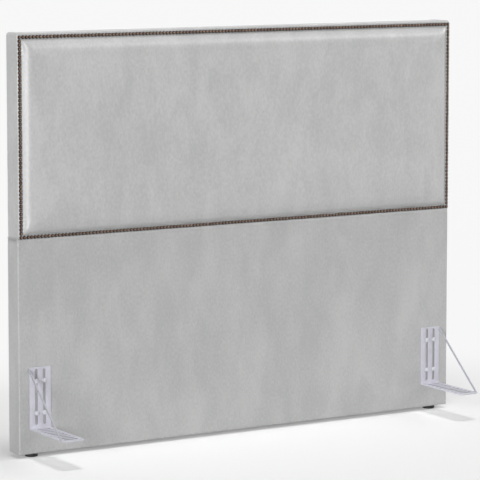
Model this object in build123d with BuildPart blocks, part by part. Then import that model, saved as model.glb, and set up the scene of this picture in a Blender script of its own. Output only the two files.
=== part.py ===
from build123d import *
import os

os.makedirs("parts", exist_ok=True)

# An upholstered headboard for a 1600 mm bed, in millimetres.
# X runs across it, its front faces -Y, +Z is up, and the floor is z = 0.
# The origin is the middle of the bottom of the whole part, brackets included.

# Driving sizes of the upholstered body
body_width = 1600.0
body_height = 1302.0
body_depth = 70.0
foot_height = 11.5
seam_height = 677.0
upper_inset = 1.8
upper_proud = 4.0
edge_radius = 4.0
top_corner_radius = 10.0
back_turn_in = 40.0

# Layers, from the outside in
fabric_thickness = 2.0
wadding_thickness = 4.0
board_thickness = 6.0

# Timber frame
stile_width = 40.0
rail_height = 44.0
upright_width = 40.0
upright_share = 1 / 3
timber_arris = 1.5
block_width = 110.0
block_height = 250.0
block_thickness = 20.0

# Frame screws, two through each stile into each rail's end
frame_screw_diameter = 5.0
frame_screw_head = 9.6
frame_screw_length = 90.0
frame_screw_spacing = 30.0
screw_clearance = 0.2

# Raised cushion inside the nails
bevel_width = 18.0
bevel_rise = 15.0
shoulder_width = 30.0
shoulder_rise = 4.5
crown_rise = 2.5
bevel_bulge_shares = (0.42, 0.58)
shoulder_bulge_shares = (0.49, 0.83)
nail_clearance = 0.3

# Domed nails, in one closed row round the cushion
nail_diameter = 11.5
nail_height = 4.2
nail_pitch_target = 11.9
nail_from_side = 7.7
nail_from_top = 13.0
nail_from_seam = 5.2
nail_sides = 6
nail_shoulder_share = 0.66
nail_shoulder_rise_share = 0.68

# Slotted corner brackets, bent from sheet, each with a welded strut
bracket_from_side = 71.0
bracket_width = 72.0
bracket_height = 192.0
bracket_underside = 88.0
leg_reach = 230.0
sheet_thickness = 3.0
bend_radius = 3.0
leg_corner = 10.0
plate_slot_spacing = 27.0
plate_slot_width = 8.0
plate_slot_bottom = 13.5
plate_slot_top_margin = 5.5
leg_slot_count = 9
leg_slot_length = 46.0
leg_slot_width = 7.0
leg_slot_first = 27.0
leg_slot_margin = 27.0
strut_width = 6.5
strut_thickness = 3.0
strut_top_drop = 6.0
slide_clearance = 0.3

# Bolts that clamp each bracket through its slots into tee nuts
bolt_diameter = 6.0
bolt_length = 40.0
bolt_spacing = 100.0
bolt_head_flats = 10.0
bolt_head_height = 4.0
bolt_hole_diameter = 7.0
washer_diameter = 14.0
washer_thickness = 1.6
tee_nut_barrel = 8.0
tee_nut_flange = 19.0
tee_nut_flange_thickness = 1.6
tee_nut_length = 12.0
thread_clearance = 0.1

# Round glides under the bottom rail
foot_diameter = 40.0
foot_from_side = 54.0
foot_setback = 28.0
foot_rim_chamfer = 1.5
stud_diameter = 8.0
stud_depth_in_foot = 6.0
stud_depth_in_rail = 15.0

# Small or hidden round forms have this many flats
hardware_sides = 8
washer_sides = 12
slot_end_sides = 12
foot_sides = 24

# One overrun serves every through cut
overrun = 10.0

# A quarter turn in degrees, and the turn that sets a slot end's flats along the slot
quarter_turn = 90
half_flat = 2 * quarter_turn / slot_end_sides

# Places that follow from the sizes above
overall_depth = body_depth + leg_reach
back_y = overall_depth / 2
front_y = back_y - body_depth
border_y = front_y - upper_proud
board_y = front_y + fabric_thickness + wadding_thickness
frame_y = board_y + board_thickness
frame_back_y = back_y - fabric_thickness
frame_depth = frame_back_y - frame_y
frame_mid_y = (frame_y + frame_back_y) / 2
body_half = body_width / 2
upper_half = body_half - upper_inset
frame_half = body_half - fabric_thickness - wadding_thickness
upper_wadding = wadding_thickness - upper_inset
frame_bottom = foot_height + fabric_thickness
frame_top = body_height - fabric_thickness - upper_wadding
rail_half = frame_half - stile_width
inner_radius = edge_radius - fabric_thickness
wadding_corner = top_corner_radius - fabric_thickness
timber_corner = wadding_corner - upper_wadding
bracket_offset = body_half - bracket_from_side
foot_offset = body_half - foot_from_side

# Nail rows: the pitch is rounded so that a whole number of nails closes each row
nail_half = upper_half - nail_from_side
nail_top = body_height - nail_from_top
nail_bottom = seam_height + nail_from_seam
row_gaps = round(2 * nail_half / nail_pitch_target)
column_gaps = round((nail_top - nail_bottom) / nail_pitch_target)
row_pitch = 2 * nail_half / row_gaps
column_pitch = (nail_top - nail_bottom) / column_gaps

# The window that the cushion fills, just inside the nails
window_inset = nail_diameter / 2 + nail_clearance
window_half = nail_half - window_inset
window_bottom = nail_bottom + window_inset
window_top = nail_top - window_inset
cushion_y = border_y + fabric_thickness

# Bracket and bolt places
bracket_back_y = front_y - slide_clearance
bracket_front_y = bracket_back_y - sheet_thickness
bracket_mid_y = (bracket_front_y + bracket_back_y) / 2
leg_front_y = front_y - leg_reach
leg_mid_y = (leg_front_y + bracket_back_y) / 2
leg_slot_pitch = (leg_reach - leg_slot_first - leg_slot_margin) / (leg_slot_count - 1)
bracket_top = bracket_underside + bracket_height
bracket_mid_height = (bracket_underside + bracket_top) / 2
leg_top = bracket_underside + sheet_thickness
plate_slot_low = bracket_underside + plate_slot_bottom
plate_slot_high = bracket_top - plate_slot_top_margin
plate_slot_length = plate_slot_high - plate_slot_low
bolt_mid_height = (plate_slot_low + plate_slot_high) / 2
washer_back_y = bracket_front_y - slide_clearance
bolt_seat_y = washer_back_y - washer_thickness
block_back_y = frame_y + block_thickness
slide_travel = (plate_slot_length - bolt_spacing) / 2 - bolt_diameter / 2
foot_y = front_y + foot_setback

sides = (("left", -1), ("right", 1))


def box_between(x_limits, y_limits, z_limits, mode=Mode.ADD):
    """A box given by its two limits along each axis."""
    with Locations((sum(x_limits) / 2, sum(y_limits) / 2, sum(z_limits) / 2)):
        Box(
            x_limits[1] - x_limits[0],
            y_limits[1] - y_limits[0],
            z_limits[1] - z_limits[0],
            mode=mode,
        )


def front_plane(y):
    """The upright plane at this y that looks out of the front: local x is X, local y is Z."""
    return Plane.XZ.offset(-y)


def bolt_places(x_centre):
    """The four bolts of one bracket, as local points of a front plane."""
    return [
        (x_centre + across * plate_slot_spacing / 2, bolt_mid_height + up * bolt_spacing / 2)
        for across in (-1, 1)
        for up in (-1, 1)
    ]


def hardware_outline(radius):
    """The flats of a small round piece, inside its true circle."""
    RegularPolygon(radius, hardware_sides)


def hardware_hole(radius):
    """The flats of a hole for a small round piece, outside its true circle."""
    RegularPolygon(radius, hardware_sides, major_radius=False)


def slot_outline(length, width, turn=0):
    """A slot along local x, turned by some degrees; its round ends have flats."""
    run = length - width
    with Locations(Location((0, 0, 0), (0, 0, turn))):
        Rectangle(run, width)
        with Locations((-run / 2, 0), (run / 2, 0)):
            RegularPolygon(width / 2, slot_end_sides, major_radius=False, rotation=half_flat)


def arched_panel(half_width, z_limits, depth_limits, corner_radius):
    """An upright panel with a straight foot and rounded top corners."""
    with BuildPart() as panel:
        with BuildSketch(front_plane(depth_limits[1])) as outline:
            with Locations((0, sum(z_limits) / 2)):
                Rectangle(2 * half_width, z_limits[1] - z_limits[0])
            fillet(outline.vertices().group_by(Axis.Y)[-1], corner_radius)
        extrude(amount=depth_limits[1] - depth_limits[0])
    return panel.part


def bulged_arc(start, end, shares):
    """An arc from start to end through a point that lies at these shares of the way."""
    middle = (
        start[0] + (end[0] - start[0]) * shares[0],
        start[1] + (end[1] - start[1]) * shares[1],
    )
    ThreePointArc(start, middle, end)


def cushion_profile(half_length, bevel):
    """A section across the cushion: flat back at 0, steep bevels, soft shoulders, slight crown."""
    shoulder = bevel + shoulder_rise
    with BuildSketch() as profile:
        with BuildLine():
            for end in (-1, 1):
                edge = (end * half_length, 0)
                bevel_top = (end * (half_length - bevel_width), bevel)
                shoulder_top = (end * (half_length - bevel_width - shoulder_width), shoulder)
                bulged_arc(edge, bevel_top, bevel_bulge_shares)
                bulged_arc(bevel_top, shoulder_top, shoulder_bulge_shares)
            crown_start = (-half_length + bevel_width + shoulder_width, shoulder)
            crown_end = (half_length - bevel_width - shoulder_width, shoulder)
            ThreePointArc(crown_start, (0, shoulder + crown_rise), crown_end)
            Line((-half_length, 0), (half_length, 0))
        make_face()
    return profile.sketch


def cushion_form(inset):
    """The raised cushion, or the foam that lies inset below its surface."""
    half_x = window_half - inset
    half_z = (window_top - window_bottom) / 2 - inset
    mid_z = (window_top + window_bottom) / 2
    bevel = bevel_rise - inset
    plan = Plane((0, cushion_y, mid_z), x_dir=(1, 0, 0), z_dir=(0, 0, -1))
    section = Plane((0, cushion_y, mid_z), x_dir=(0, 0, 1), z_dir=(1, 0, 0))
    with BuildPart() as form:
        with BuildSketch(plan):
            add(cushion_profile(half_x, bevel))
        extrude(amount=half_z, both=True)
        with BuildSketch(section):
            add(cushion_profile(half_z, bevel))
        extrude(amount=half_x, both=True, mode=Mode.INTERSECT)
    return form.part


# Timber stiles, full height, with countersunk holes for the frame screws
rail_mids = (
    frame_bottom + rail_height / 2,
    seam_height,
    frame_top - rail_height / 2,
)
frame_screw_places = [
    (y, z)
    for z in rail_mids
    for y in (frame_mid_y - frame_screw_spacing / 2, frame_mid_y + frame_screw_spacing / 2)
]


def screw_form(clearance):
    """A countersunk screw, head up at z = 0 and point down, or with clearance its hole."""
    head_radius = frame_screw_head / 2 + clearance
    shank_radius = frame_screw_diameter / 2 + clearance
    head_depth = head_radius - shank_radius
    shank_length = frame_screw_length - head_depth - frame_screw_diameter + clearance
    with BuildPart() as screw:
        with BuildSketch(Plane.XY):
            hardware_outline(head_radius)
        with BuildSketch(Plane.XY.offset(-head_depth)):
            hardware_outline(shank_radius)
        loft(ruled=True)
        with BuildSketch(Plane.XY.offset(-head_depth)):
            hardware_outline(shank_radius)
        extrude(amount=-shank_length)
        shank_end = screw.faces().sort_by(Axis.Z)[0]
        loft(sections=[shank_end, Vertex(0, 0, -frame_screw_length - clearance)], ruled=True)
    return screw.part


frame_screw = screw_form(0)
frame_screw_room = screw_form(screw_clearance)


def frame_screw_locations(sign):
    """Where the screws go in through one stile, as locations on its outer face."""
    outer_face = Plane((sign * frame_half, 0, 0), x_dir=(0, 1, 0), z_dir=(sign, 0, 0))
    return [outer_face * Location((y, sign * z)) for y, z in frame_screw_places]


for side, sign in sides:
    with BuildPart() as stile:
        box_between(
            sorted((sign * rail_half, sign * frame_half)),
            (frame_y, frame_back_y),
            (frame_bottom, frame_top),
        )
        top_edges = stile.edges().filter_by(Axis.Y).group_by(Axis.Z)[-1]
        outer_top_edge = top_edges.sort_by(Axis.X)[0 if sign < 0 else -1]
        fillet(outer_top_edge, timber_corner)
        inner_edges = stile.edges().filter_by(Axis.Z).group_by(Axis.X)[-1 if sign < 0 else 0]
        chamfer(inner_edges, length=timber_arris)
        with Locations(*frame_screw_locations(sign)):
            add(frame_screw_room, mode=Mode.SUBTRACT)
    stile.part.label = f"stile_{side}"
    export_step(stile.part, f"parts/stile_{side}.step")

# Timber rails between the stiles, drilled at both ends for the frame screws
for name, rail_mid in zip(("bottom", "middle", "top"), rail_mids):
    with BuildPart() as rail:
        box_between(
            (-rail_half, rail_half),
            (frame_y, frame_back_y),
            (rail_mid - rail_height / 2, rail_mid + rail_height / 2),
        )
        chamfer(rail.edges().filter_by(Axis.X), length=timber_arris)
        with Locations(*frame_screw_locations(-1), *frame_screw_locations(1)):
            add(frame_screw_room, mode=Mode.SUBTRACT)
        if name == "bottom":
            with BuildSketch(Plane.XY.offset(frame_bottom)):
                with Locations(*[(sign * foot_offset, foot_y) for side, sign in sides]):
                    hardware_hole(stud_diameter / 2 + screw_clearance)
            extrude(amount=stud_depth_in_rail + screw_clearance, mode=Mode.SUBTRACT)
    rail.part.label = f"rail_{name}"
    export_step(rail.part, f"parts/rail_{name}.step")

# Short uprights between the rails
upright_spans = {
    "lower": (rail_mids[0] + rail_height / 2, rail_mids[1] - rail_height / 2),
    "upper": (rail_mids[1] + rail_height / 2, rail_mids[2] - rail_height / 2),
}
for level, span in upright_spans.items():
    for side, sign in sides:
        upright_x = sign * rail_half * upright_share
        with BuildPart() as upright:
            box_between(
                (upright_x - upright_width / 2, upright_x + upright_width / 2),
                (frame_y, frame_back_y),
                span,
            )
            chamfer(upright.edges().filter_by(Axis.Z), length=timber_arris)
        upright.part.label = f"upright_{level}_{side}"
        export_step(upright.part, f"parts/upright_{level}_{side}.step")

# Countersunk screws of the frame, one group of separate solids
with BuildPart() as frame_screws:
    with Locations(*frame_screw_locations(-1), *frame_screw_locations(1)):
        add(frame_screw)
frame_screws.part.label = "frame_screws"
export_step(frame_screws.part, "parts/frame_screws.step")

# Hardwood blocks that take the bracket bolts, with the tee nuts' barrels in their backs
for side, sign in sides:
    with BuildPart() as bracket_block:
        box_between(
            sorted((sign * rail_half, sign * (rail_half - block_width))),
            (frame_y, block_back_y),
            (frame_bottom + rail_height, frame_bottom + rail_height + block_height),
        )
        with BuildSketch(front_plane(block_back_y)):
            with Locations(*bolt_places(sign * bracket_offset)):
                hardware_hole(bolt_hole_diameter / 2)
        extrude(amount=block_thickness, mode=Mode.SUBTRACT)
        with BuildSketch(front_plane(block_back_y)):
            with Locations(*bolt_places(sign * bracket_offset)):
                hardware_hole(tee_nut_barrel / 2 + thread_clearance)
        extrude(amount=tee_nut_length, mode=Mode.SUBTRACT)
    bracket_block.part.label = f"bracket_block_{side}"
    export_step(bracket_block.part, f"parts/bracket_block_{side}.step")

    with BuildPart() as tee_nuts:
        with BuildSketch(front_plane(block_back_y)):
            with Locations(*bolt_places(sign * bracket_offset)):
                hardware_outline(tee_nut_barrel / 2)
        extrude(amount=tee_nut_length - thread_clearance)
        with BuildSketch(front_plane(block_back_y)):
            with Locations(*bolt_places(sign * bracket_offset)):
                hardware_outline(tee_nut_flange / 2)
        extrude(amount=-tee_nut_flange_thickness)
        with BuildSketch(front_plane(block_back_y + tee_nut_flange_thickness)):
            with Locations(*bolt_places(sign * bracket_offset)):
                hardware_hole(bolt_diameter / 2 + thread_clearance)
        extrude(amount=tee_nut_length + tee_nut_flange_thickness, mode=Mode.SUBTRACT)
    tee_nuts.part.label = f"tee_nuts_{side}"
    export_step(tee_nuts.part, f"parts/tee_nuts_{side}.step")

# Front boards, which meet on the middle rail
with BuildPart() as front_board_lower:
    box_between((-frame_half, frame_half), (board_y, frame_y), (frame_bottom, seam_height))
    with BuildSketch(front_plane(frame_y)):
        for side, sign in sides:
            with Locations(*bolt_places(sign * bracket_offset)):
                hardware_hole(bolt_hole_diameter / 2)
    extrude(amount=board_thickness, mode=Mode.SUBTRACT)
front_board_lower.part.label = "front_board_lower"
export_step(front_board_lower.part, "parts/front_board_lower.step")

with BuildPart() as front_board_upper:
    add(arched_panel(frame_half, (seam_height, frame_top), (board_y, frame_y), timber_corner))
front_board_upper.part.label = "front_board_upper"
export_step(front_board_upper.part, "parts/front_board_upper.step")

# Thin wadding round the front and sides of the lower section
with BuildPart() as lower_wadding:
    box_between(
        (-body_half + fabric_thickness, body_half - fabric_thickness),
        (front_y + fabric_thickness, frame_back_y),
        (frame_bottom, seam_height),
    )
    front_corners = lower_wadding.edges().filter_by(Axis.Z).group_by(Axis.Y)[0]
    fillet(front_corners, inner_radius)
    box_between(
        (-frame_half, frame_half),
        (board_y, back_y + overrun),
        (frame_bottom - overrun, seam_height + overrun),
        mode=Mode.SUBTRACT,
    )
    with BuildSketch(front_plane(board_y)):
        for side, sign in sides:
            with Locations(*bolt_places(sign * bracket_offset)):
                hardware_hole(bolt_hole_diameter / 2)
    extrude(amount=wadding_thickness, mode=Mode.SUBTRACT)
lower_wadding.part.label = "lower_wadding"
export_step(lower_wadding.part, "parts/lower_wadding.step")

# Thin wadding over the sides and top of the upper section
with BuildPart() as upper_side_wadding:
    add(
        arched_panel(
            upper_half - fabric_thickness,
            (seam_height, body_height - fabric_thickness),
            (board_y, frame_back_y),
            wadding_corner,
        )
    )
    add(
        arched_panel(
            frame_half,
            (seam_height - overrun, frame_top),
            (board_y - overrun, back_y + overrun),
            timber_corner,
        ),
        mode=Mode.SUBTRACT,
    )
upper_side_wadding.part.label = "upper_side_wadding"
export_step(upper_side_wadding.part, "parts/upper_side_wadding.step")

# Foam of the upper panel: a sheet behind the flat border and the raised cushion inside the nails
foam_cushion = cushion_form(fabric_thickness)
with BuildPart() as panel_foam:
    add(
        arched_panel(
            upper_half - fabric_thickness,
            (seam_height + fabric_thickness, body_height - fabric_thickness),
            (cushion_y, board_y),
            wadding_corner,
        )
    )
    foam_front = panel_foam.faces().sort_by(Axis.Y)[0].edges()
    fillet(foam_front.sort_by(Axis.Z)[1:], inner_radius)
    add(foam_cushion)
panel_foam.part.label = "panel_foam"
export_step(panel_foam.part, "parts/panel_foam.step")

# Fabric over the raised cushion
with BuildPart() as panel_cover:
    add(cushion_form(0))
    add(foam_cushion, mode=Mode.SUBTRACT)
panel_cover.part.label = "panel_cover"
export_step(panel_cover.part, "parts/panel_cover.step")

# Fabric border of the upper section: a flat ring under the nails, the sides and the top,
# turned in on the back, with a narrow return below the lower nail row
with BuildPart() as border_cover:
    add(
        arched_panel(
            upper_half,
            (seam_height, body_height),
            (border_y, back_y),
            top_corner_radius,
        )
    )
    cover_front = border_cover.faces().sort_by(Axis.Y)[0].edges()
    fillet(cover_front.sort_by(Axis.Z)[1:], edge_radius)
    add(
        arched_panel(
            upper_half - fabric_thickness,
            (seam_height + fabric_thickness, body_height - fabric_thickness),
            (cushion_y, frame_back_y),
            wadding_corner,
        ),
        mode=Mode.SUBTRACT,
    )
    box_between(
        (-upper_half + fabric_thickness, upper_half - fabric_thickness),
        (board_y, frame_back_y),
        (seam_height - overrun, seam_height + fabric_thickness),
        mode=Mode.SUBTRACT,
    )
    box_between(
        (-window_half, window_half),
        (border_y - overrun, cushion_y),
        (window_bottom, window_top),
        mode=Mode.SUBTRACT,
    )
    box_between(
        (-body_half + back_turn_in, body_half - back_turn_in),
        (frame_back_y, back_y + overrun),
        (seam_height - overrun, body_height - back_turn_in),
        mode=Mode.SUBTRACT,
    )
border_cover.part.label = "border_cover"
export_step(border_cover.part, "parts/border_cover.step")

# Fabric of the lower section: front, sides and bottom, turned in on the back
with BuildPart() as lower_cover:
    box_between((-body_half, body_half), (front_y, back_y), (foot_height, seam_height))
    front_edges = lower_cover.faces().sort_by(Axis.Y)[0].edges()
    fillet(front_edges.filter_by(Axis.Z) + front_edges.sort_by(Axis.Z)[:1], edge_radius)
    box_between(
        (-body_half + fabric_thickness, body_half - fabric_thickness),
        (front_y + fabric_thickness, frame_back_y),
        (frame_bottom, seam_height + overrun),
        mode=Mode.SUBTRACT,
    )
    box_between(
        (-body_half + back_turn_in, body_half - back_turn_in),
        (frame_back_y, back_y + overrun),
        (foot_height + back_turn_in, seam_height + overrun),
        mode=Mode.SUBTRACT,
    )
    with BuildSketch(front_plane(front_y + fabric_thickness)):
        for side, sign in sides:
            with Locations(*bolt_places(sign * bracket_offset)):
                hardware_hole(bolt_hole_diameter / 2)
    extrude(amount=fabric_thickness, mode=Mode.SUBTRACT)
    with BuildSketch(Plane.XY.offset(foot_height)):
        with Locations(*[(sign * foot_offset, foot_y) for side, sign in sides]):
            hardware_hole(stud_diameter / 2 + screw_clearance)
    extrude(amount=fabric_thickness, mode=Mode.SUBTRACT)
lower_cover.part.label = "lower_cover"
export_step(lower_cover.part, "parts/lower_cover.step")

# Dust cloth on the back, inside the turned-in edges of the covers
with BuildPart() as back_cloth:
    box_between(
        (-body_half + back_turn_in + nail_clearance, body_half - back_turn_in - nail_clearance),
        (frame_back_y, back_y),
        (foot_height + back_turn_in + nail_clearance, body_height - back_turn_in - nail_clearance),
    )
back_cloth.part.label = "back_cloth"
export_step(back_cloth.part, "parts/back_cloth.step")

# One domed nail head, faceted, with its flat back on the border
nail_radius = nail_diameter / 2
nail_shoulder_radius = nail_radius * nail_shoulder_share
nail_shoulder_height = nail_height * nail_shoulder_rise_share
with BuildPart() as nail_head:
    with BuildSketch(front_plane(border_y)):
        RegularPolygon(nail_radius, nail_sides)
    with BuildSketch(front_plane(border_y - nail_shoulder_height)):
        RegularPolygon(nail_shoulder_radius, nail_sides)
    loft(ruled=True)
    shoulder_face = nail_head.faces().sort_by(Axis.Y)[0]
    loft(sections=[shoulder_face, Vertex(0, border_y - nail_height, 0)], ruled=True)

# The four straight runs of the nail row: the corner nails belong to the long runs
for name, z in (("bottom", nail_bottom), ("top", nail_top)):
    with BuildPart() as nail_run:
        with Locations(*[(-nail_half + i * row_pitch, 0, z) for i in range(row_gaps + 1)]):
            add(nail_head.part)
    nail_run.part.label = f"nails_{name}"
    export_step(nail_run.part, f"parts/nails_{name}.step")

for side, sign in sides:
    with BuildPart() as nail_column:
        column = [(sign * nail_half, 0, nail_bottom + i * column_pitch) for i in range(1, column_gaps)]
        with Locations(*column):
            add(nail_head.part)
    nail_column.part.label = f"nails_{side}"
    export_step(nail_column.part, f"parts/nails_{side}.step")

# Round glides and the studs moulded into them
for side, sign in sides:
    with BuildPart() as foot:
        with BuildSketch(Plane.XY):
            with Locations((sign * foot_offset, foot_y)):
                RegularPolygon(foot_diameter / 2, foot_sides)
        extrude(amount=foot_height)
        chamfer(foot.faces().sort_by(Axis.Z)[0].edges(), length=foot_rim_chamfer)
        with BuildSketch(Plane.XY.offset(foot_height)):
            with Locations((sign * foot_offset, foot_y)):
                hardware_hole(stud_diameter / 2)
        extrude(amount=-stud_depth_in_foot, mode=Mode.SUBTRACT)
    foot.part.label = f"foot_{side}"
    export_step(foot.part, f"parts/foot_{side}.step")

with BuildPart() as foot_studs:
    with BuildSketch(Plane.XY.offset(foot_height - stud_depth_in_foot)):
        with Locations(*[(sign * foot_offset, foot_y) for side, sign in sides]):
            hardware_outline(stud_diameter / 2)
    extrude(amount=stud_depth_in_foot + fabric_thickness + stud_depth_in_rail)
foot_studs.part.label = "foot_studs"
export_step(foot_studs.part, "parts/foot_studs.step")

# Slotted corner brackets
for side, sign in sides:
    bracket_x = sign * bracket_offset
    inner_x = bracket_x - bracket_width / 2
    section = Plane((inner_x, 0, 0), x_dir=(0, 1, 0), z_dir=(1, 0, 0))
    with BuildPart() as bracket:
        with BuildSketch(section):
            with BuildLine():
                Polyline(
                    (leg_front_y, bracket_underside),
                    (bracket_back_y, bracket_underside),
                    (bracket_back_y, bracket_top),
                    (bracket_front_y, bracket_top),
                    (bracket_front_y, leg_top),
                    (leg_front_y, leg_top),
                    close=True,
                )
            make_face()
        extrude(amount=bracket_width)
        bend_edges = bracket.edges().filter_by(Axis.X)
        outer_bend = bend_edges.filter_by_position(
            Axis.Z, bracket_underside, bracket_underside
        ).sort_by(Axis.Y)[-1:]
        inner_bend = bend_edges.filter_by_position(Axis.Z, leg_top, leg_top).sort_by(Axis.Y)[-1:]
        fillet(outer_bend, bend_radius + sheet_thickness)
        fillet(inner_bend, bend_radius)
        front_corners = bracket.edges().filter_by(Axis.Z).group_by(Axis.Y)[0]
        chamfer(front_corners, length=leg_corner)
        with BuildSketch(front_plane(bracket_back_y + overrun)):
            with Locations((bracket_x, bolt_mid_height)):
                with GridLocations(plate_slot_spacing, 0, 2, 1):
                    slot_outline(plate_slot_length, plate_slot_width, quarter_turn)
        extrude(amount=sheet_thickness + 2 * overrun, mode=Mode.SUBTRACT)
        leg_slot_centres = [
            (bracket_x, front_y - leg_slot_first - i * leg_slot_pitch) for i in range(leg_slot_count)
        ]
        with BuildSketch(Plane.XY.offset(bracket_underside - overrun)):
            with Locations(*leg_slot_centres):
                SlotOverall(leg_slot_length, leg_slot_width)
        extrude(amount=sheet_thickness + 2 * overrun, mode=Mode.SUBTRACT)
    bracket.part.label = f"bracket_{side}"
    export_step(bracket.part, f"parts/bracket_{side}.step")

    outer_x = bracket_x + sign * bracket_width / 2
    side_plane = Plane((outer_x, 0, 0), x_dir=(0, 1, 0), z_dir=(1, 0, 0))
    strut_head = Vector(bracket_mid_y, bracket_top - strut_top_drop)
    strut_toe = Vector(leg_front_y + leg_corner + strut_width, leg_top - sheet_thickness / 2)
    strut_run_out = (strut_toe - strut_head).normalized() * overrun
    with BuildPart() as strut:
        with BuildSketch(side_plane):
            with BuildLine():
                Line(strut_head - strut_run_out, strut_toe + strut_run_out)
            trace(line_width=strut_width)
            with Locations((leg_mid_y, bracket_mid_height)):
                Rectangle(bracket_back_y - leg_front_y, bracket_height, mode=Mode.INTERSECT)
        extrude(amount=sign * strut_thickness)
    strut.part.label = f"strut_{side}"
    export_step(strut.part, f"parts/strut_{side}.step")

    with BuildPart() as bolts:
        with BuildSketch(front_plane(bolt_seat_y)):
            with Locations(*bolt_places(bracket_x)):
                RegularPolygon(bolt_head_flats / 2, 6, major_radius=False)
        extrude(amount=bolt_head_height)
        with BuildSketch(front_plane(bolt_seat_y)):
            with Locations(*bolt_places(bracket_x)):
                hardware_outline(bolt_diameter / 2)
        extrude(amount=-bolt_length)
    bolts.part.label = f"bracket_bolts_{side}"
    export_step(bolts.part, f"parts/bracket_bolts_{side}.step")

    with BuildPart() as washers:
        with BuildSketch(front_plane(washer_back_y)):
            with Locations(*bolt_places(bracket_x)):
                RegularPolygon(washer_diameter / 2, washer_sides)
                RegularPolygon(
                    bolt_diameter / 2 + thread_clearance,
                    washer_sides,
                    major_radius=False,
                    mode=Mode.SUBTRACT,
                )
        extrude(amount=washer_thickness)
    washers.part.label = f"bracket_washers_{side}"
    export_step(washers.part, f"parts/bracket_washers_{side}.step")

nail_count = 2 * (row_gaps + 1) + 2 * (column_gaps - 1)
print("nails", nail_count, "pitch", round(row_pitch, 3), round(column_pitch, 3))
print("bracket slide", round(slide_travel, 2), "each way")
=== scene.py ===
import math
import random

import bmesh
import bpy
from mathutils import Euler, Matrix, Vector, noise


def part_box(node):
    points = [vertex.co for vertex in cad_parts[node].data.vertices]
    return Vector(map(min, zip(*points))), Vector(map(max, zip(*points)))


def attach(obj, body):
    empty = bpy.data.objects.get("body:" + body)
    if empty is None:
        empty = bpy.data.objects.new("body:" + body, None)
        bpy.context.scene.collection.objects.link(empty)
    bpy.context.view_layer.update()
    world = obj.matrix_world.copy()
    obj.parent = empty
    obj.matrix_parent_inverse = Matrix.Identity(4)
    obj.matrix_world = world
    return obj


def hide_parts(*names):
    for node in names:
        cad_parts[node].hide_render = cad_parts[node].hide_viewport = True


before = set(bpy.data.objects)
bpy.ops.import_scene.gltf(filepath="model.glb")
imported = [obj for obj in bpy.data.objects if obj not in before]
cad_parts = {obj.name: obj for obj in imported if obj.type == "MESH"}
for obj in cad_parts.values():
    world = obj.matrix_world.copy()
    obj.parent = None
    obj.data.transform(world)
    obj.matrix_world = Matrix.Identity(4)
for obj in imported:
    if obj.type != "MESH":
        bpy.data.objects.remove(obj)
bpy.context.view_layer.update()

# An upholstered headboard with domed nails and two slotted corner brackets.
# All lengths are in metres; X runs across, the front faces -Y, and Z is up.
MM = 0.001
scene = bpy.context.scene
scene.view_settings.view_transform = "Standard"
MAIN_BODY = "headboard"
SIDES = (("left", -1), ("right", 1))

# Sizes that the frame gives
upper_low, upper_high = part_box("border_cover")
lower_low, lower_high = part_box("lower_cover")
cushion_low, cushion_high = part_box("panel_cover")
back_low, back_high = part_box("back_cloth")
column_low, column_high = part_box("nails_right")
UPPER_HALF = upper_high.x
LOWER_HALF = lower_high.x
BODY_TOP = upper_high.z
SEAM = upper_low.z
BODY_FOOT = lower_low.z
BORDER_Y = upper_low.y
FRONT_Y = lower_low.y
BACK_Y = upper_high.y
WINDOW_HALF = cushion_high.x
WINDOW_LOW = cushion_low.z
WINDOW_HIGH = cushion_high.z
NAIL_RADIUS = (column_high.x - column_low.x) / 2
NAIL_HALF = (column_high.x + column_low.x) / 2
NAIL_TOP = sum(corner.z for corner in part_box("nails_top")) / 2
NAIL_BOTTOM = sum(corner.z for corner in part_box("nails_bottom")) / 2

# Sizes of the CAD part that its boxes don't show
EDGE_RADIUS = 4.0 * MM
TOP_CORNER = 10.0 * MM
TURN_IN = 40.0 * MM
CLOTH = 2.0 * MM
NAIL_PITCH = 11.9 * MM
ROW_GAPS = round(2 * NAIL_HALF / NAIL_PITCH)
COLUMN_GAPS = round((NAIL_TOP - NAIL_BOTTOM) / NAIL_PITCH)
ROW_PITCH = 2 * NAIL_HALF / ROW_GAPS
COLUMN_PITCH = (NAIL_TOP - NAIL_BOTTOM) / COLUMN_GAPS

# Points closer than this count as one, where clean_up's own distance is too coarse
SMALL_JOIN = 0.001 * MM


# Meshes

def new_object(name, verts, faces, smooth=True):
    mesh = bpy.data.meshes.new(name)
    mesh.from_pydata([tuple(v) for v in verts], [], faces)
    mesh.update()
    if smooth:
        mesh.polygons.foreach_set("use_smooth", [True] * len(mesh.polygons))
    obj = bpy.data.objects.new(name, mesh)
    scene.collection.objects.link(obj)
    return obj


def clean_up(obj, distance=0.02 * MM):
    """Joins doubled points and turns the faces outward."""
    bm = bmesh.new()
    bm.from_mesh(obj.data)
    bmesh.ops.remove_doubles(bm, verts=bm.verts, dist=distance)
    bmesh.ops.dissolve_degenerate(bm, edges=bm.edges, dist=distance)
    bmesh.ops.recalc_face_normals(bm, faces=bm.faces)
    bm.to_mesh(obj.data)
    bm.free()
    obj.data.update()


def bake_modifiers(obj):
    """Replaces the mesh by what its modifiers make, and drops them."""
    graph = bpy.context.evaluated_depsgraph_get()
    made = bpy.data.meshes.new_from_object(obj.evaluated_get(graph))
    obj.modifiers.clear()
    obj.data = made


def smooth_by_angle(obj, degrees=35):
    mesh = obj.data
    mesh.polygons.foreach_set("use_smooth", [True] * len(mesh.polygons))
    mesh.set_sharp_from_angle(angle=math.radians(degrees))


def finish_piece(obj, material, body, replaces=()):
    obj.data.materials.clear()
    obj.data.materials.append(material)
    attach(obj, body)
    if replaces:
        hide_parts(*replaces)


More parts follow.
